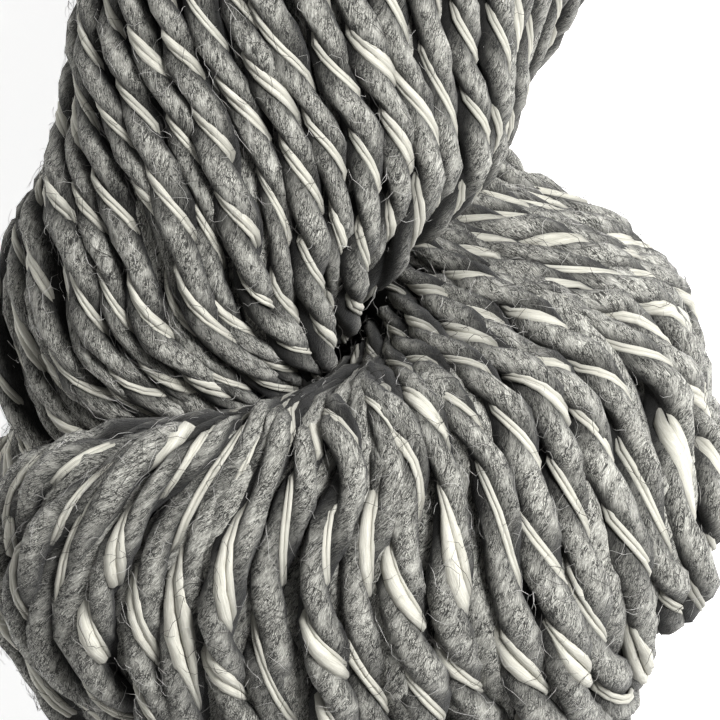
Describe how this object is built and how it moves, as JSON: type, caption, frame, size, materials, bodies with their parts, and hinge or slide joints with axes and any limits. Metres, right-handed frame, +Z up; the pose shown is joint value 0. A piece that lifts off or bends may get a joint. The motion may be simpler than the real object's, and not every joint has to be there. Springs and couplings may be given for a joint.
{
  "type": "hank of knitting yarn",
  "caption": "Twisted hank of thick plied wool yarn: one wound loop, twisted on itself and folded into rounded ends, lying on its side.",
  "frame": {"origin": "centre of the hank's bounding box at its underside, where it rests on the table", "axes": "+Y along the hank towards one fold end, +Z up, +X across the hank"},
  "size_m": [0.0994, 0.278, 0.0868],
  "materials": {
    "grey_wool": "matte, fuzzy, heathered",
    "white_thread": "matte, soft"
  },
  "bodies": {
    "root": {"hank": "grey_wool"}
  },
  "joints": []
}
